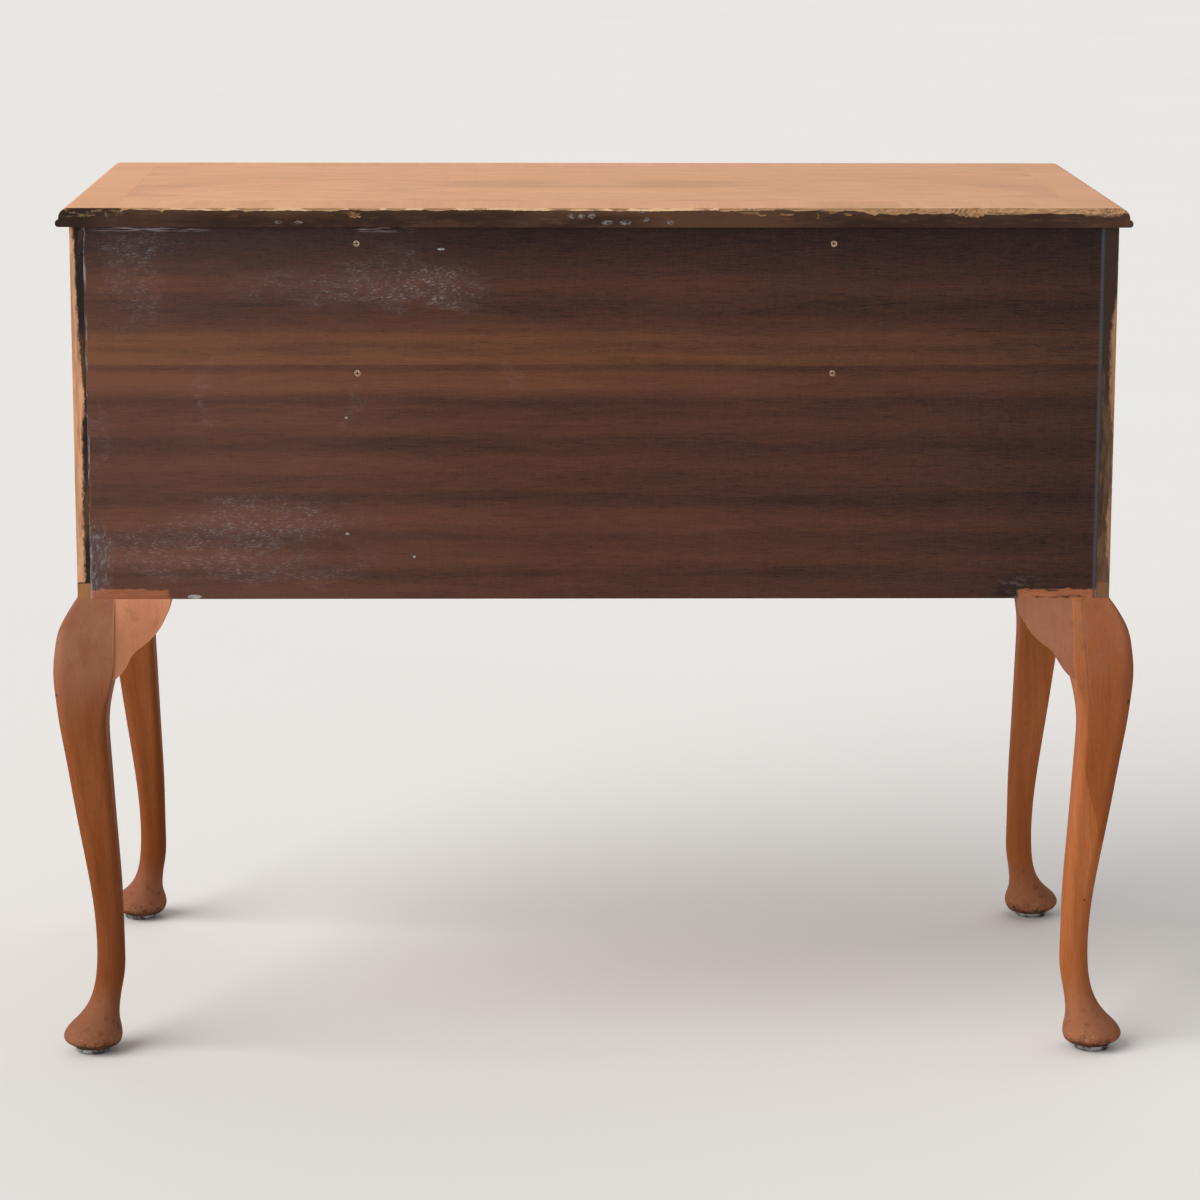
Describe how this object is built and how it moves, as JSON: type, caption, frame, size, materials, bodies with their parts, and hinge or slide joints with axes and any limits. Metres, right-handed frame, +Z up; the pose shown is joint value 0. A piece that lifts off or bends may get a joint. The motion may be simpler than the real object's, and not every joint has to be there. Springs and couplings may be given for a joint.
{
  "type": "lowboy",
  "caption": "Walnut lowboy with a moulded top, a long drawer over a row of short ones with brass bail handles, and cabriole legs with ears, pad feet and glides.",
  "frame": {"origin": "on the floor under the middle of the carcase", "axes": "+X to the right as seen from the front, +Y to the back, +Z up; the drawers open towards -Y"},
  "size_m": [0.9852, 0.5102, 0.785],
  "materials": {
    "top_walnut": "faded walnut veneer, waxed",
    "side_walnut": "walnut veneer, waxed",
    "stained_back": "dark stained plywood",
    "leg_walnut": "stained and polished walnut",
    "rail_walnut": "walnut veneer, waxed",
    "front_walnut": "figured walnut veneer, waxed",
    "bead_walnut": "polished walnut",
    "carcase_pine": "bare pine",
    "drawer_lining": "bare oak and plywood",
    "dowel_beech": "bare beech",
    "handle_brass": "polished brass, slightly tarnished",
    "glide_steel": "dull steel",
    "screw_brass": "dull brass",
    "screw_steel": "zinc-plated steel"
  },
  "bodies": {
    "carcase": {"top_board": "top_walnut", "left_side_panel": "side_walnut", "right_side_panel": "side_walnut", "back_panel": "stained_back", "rear_right_leg": "leg_walnut", "rear_right_ears": "leg_walnut", "rear_left_leg": "leg_walnut", "rear_left_ears": "leg_walnut", "front_right_leg": "leg_walnut", "front_right_ears": "leg_walnut", "front_left_leg": "leg_walnut", "front_left_ears": "leg_walnut", "top_front_rail": "rail_walnut", "middle_front_rail": "rail_walnut", "bottom_front_rail": "rail_walnut", "partition_stiles": "rail_walnut", "bottom_board": "carcase_pine", "bottom_runners": "carcase_pine", "middle_rear_rail": "carcase_pine", "middle_runners": "carcase_pine", "top_rear_rail": "carcase_pine", "top_kickers": "carcase_pine", "left_partition": "carcase_pine", "right_partition": "carcase_pine", "drawer_stops": "carcase_pine", "leg_dowels": "dowel_beech", "rail_dowels": "dowel_beech", "foot_glides": "glide_steel", "back_screws": "screw_brass", "top_screws": "screw_steel"},
    "long_drawer": {"long_drawer_front": "front_walnut", "long_drawer_cock_bead": "bead_walnut", "long_drawer_sides": "drawer_lining", "long_drawer_back": "drawer_lining", "long_drawer_bottom": "drawer_lining", "long_drawer_posts": "handle_brass"},
    "left_drawer": {"left_drawer_front": "front_walnut", "left_drawer_cock_bead": "bead_walnut", "left_drawer_sides": "drawer_lining", "left_drawer_back": "drawer_lining", "left_drawer_bottom": "drawer_lining", "left_drawer_posts": "handle_brass"},
    "centre_drawer": {"centre_drawer_front": "front_walnut", "centre_drawer_cock_bead": "bead_walnut", "centre_drawer_sides": "drawer_lining", "centre_drawer_back": "drawer_lining", "centre_drawer_bottom": "drawer_lining", "centre_drawer_posts": "handle_brass"},
    "right_drawer": {"right_drawer_front": "front_walnut", "right_drawer_cock_bead": "bead_walnut", "right_drawer_sides": "drawer_lining", "right_drawer_back": "drawer_lining", "right_drawer_bottom": "drawer_lining", "right_drawer_posts": "handle_brass"},
    "long_left_bail": {"long_drawer_left_bail": "handle_brass"},
    "long_right_bail": {"long_drawer_right_bail": "handle_brass"},
    "left_bail": {"left_drawer_bail": "handle_brass"},
    "centre_bail": {"centre_drawer_bail": "handle_brass"},
    "right_bail": {"right_drawer_bail": "handle_brass"}
  },
  "joints": [
    {"name": "long_drawer_slide", "type": "slide", "parent": "carcase", "child": "long_drawer", "axis": [0, -1, 0], "range_m": [0, 0.33]},
    {"name": "left_drawer_slide", "type": "slide", "parent": "carcase", "child": "left_drawer", "axis": [0, -1, 0], "range_m": [0, 0.33]},
    {"name": "centre_drawer_slide", "type": "slide", "parent": "carcase", "child": "centre_drawer", "axis": [0, -1, 0], "range_m": [0, 0.33]},
    {"name": "right_drawer_slide", "type": "slide", "parent": "carcase", "child": "right_drawer", "axis": [0, -1, 0], "range_m": [0, 0.33]},
    {"name": "long_left_bail_swing", "type": "hinge", "parent": "long_drawer", "child": "long_left_bail", "pos_m": [-0.3375, -0.2465, 0.69765], "axis": [-1, 0, 0], "range_deg": [-20, 100]},
    {"name": "long_right_bail_swing", "type": "hinge", "parent": "long_drawer", "child": "long_right_bail", "pos_m": [0.3375, -0.2465, 0.69765], "axis": [-1, 0, 0], "range_deg": [-20, 100]},
    {"name": "left_bail_swing", "type": "hinge", "parent": "left_drawer", "child": "left_bail", "pos_m": [-0.3375, -0.2465, 0.53615], "axis": [-1, 0, 0], "range_deg": [-20, 100]},
    {"name": "centre_bail_swing", "type": "hinge", "parent": "centre_drawer", "child": "centre_bail", "pos_m": [0, -0.2465, 0.53615], "axis": [-1, 0, 0], "range_deg": [-20, 100]},
    {"name": "right_bail_swing", "type": "hinge", "parent": "right_drawer", "child": "right_bail", "pos_m": [0.3375, -0.2465, 0.53615], "axis": [-1, 0, 0], "range_deg": [-20, 100]}
  ]
}
